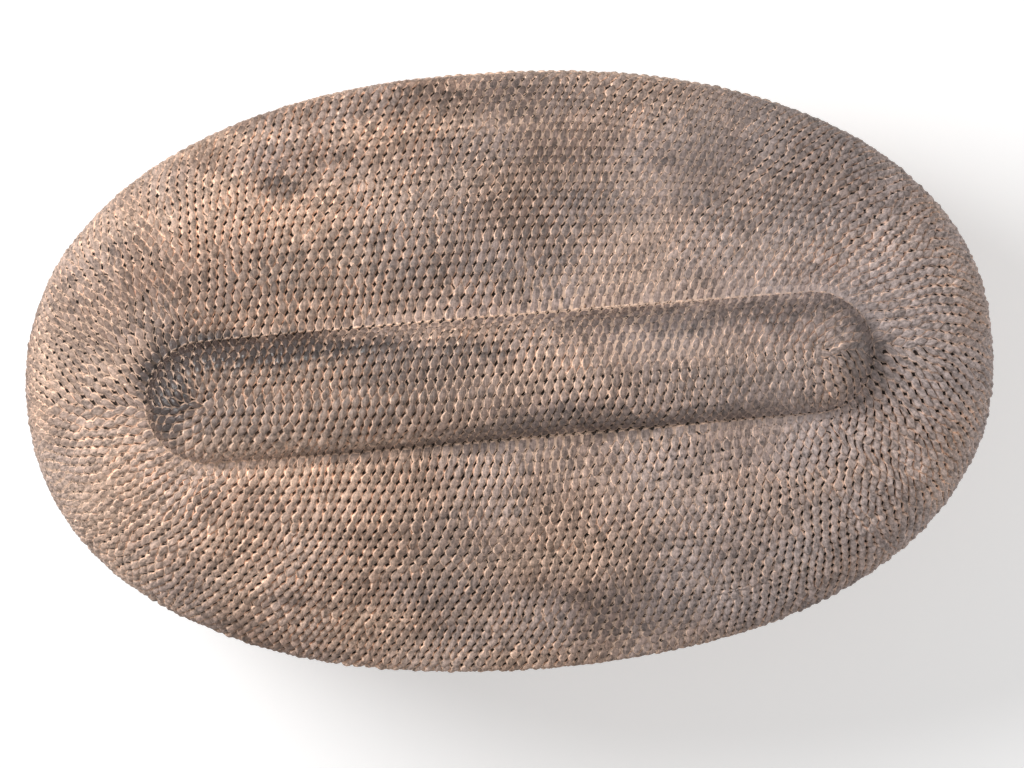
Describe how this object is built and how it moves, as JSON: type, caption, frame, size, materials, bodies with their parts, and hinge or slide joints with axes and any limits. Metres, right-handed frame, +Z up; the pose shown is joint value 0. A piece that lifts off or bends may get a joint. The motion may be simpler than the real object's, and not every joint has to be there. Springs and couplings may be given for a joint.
{
  "type": "lidded basket",
  "caption": "Oval coiled basket with a vaulted lift-off lid and a long hollow ridge along the lid as its grip.",
  "frame": {"origin": "centre of the bounding box's underside, on the surface that the basket stands on", "axes": "+X along the oval and its ridge, +Y across it, +Z up out of the mouth"},
  "size_m": [0.401, 0.249, 0.2058],
  "materials": {
    "basket_floor": "matte sewn root, dusty",
    "basket_heel_coil": "matte sewn root, scuffed dark",
    "basket_wall": "matte to low-sheen sewn root",
    "basket_rim_coil": "low-sheen sewn root",
    "basket_collar": "matte sewn root, cleaner than the outside",
    "collar_rim_coil": "low-sheen sewn root",
    "lid_skirt": "matte sewn root, light tan",
    "lid_rim_coil": "low-sheen sewn root",
    "lid_crown": "matte to low-sheen sewn root, blotched",
    "lid_grip": "low-sheen sewn root, darkened by hands"
  },
  "bodies": {
    "basket": {"basket_floor": "basket_floor", "basket_heel_coil": "basket_heel_coil", "basket_wall": "basket_wall", "basket_rim_coil": "basket_rim_coil", "basket_collar": "basket_collar", "collar_rim_coil": "collar_rim_coil"},
    "lid": {"lid_skirt": "lid_skirt", "lid_rim_coil": "lid_rim_coil", "lid_crown": "lid_crown", "lid_grip": "lid_grip"}
  },
  "joints": [
    {"name": "lid_lift", "type": "slide", "parent": "basket", "child": "lid", "axis": [0, 0, 1], "range_m": [0, 0.12]}
  ]
}
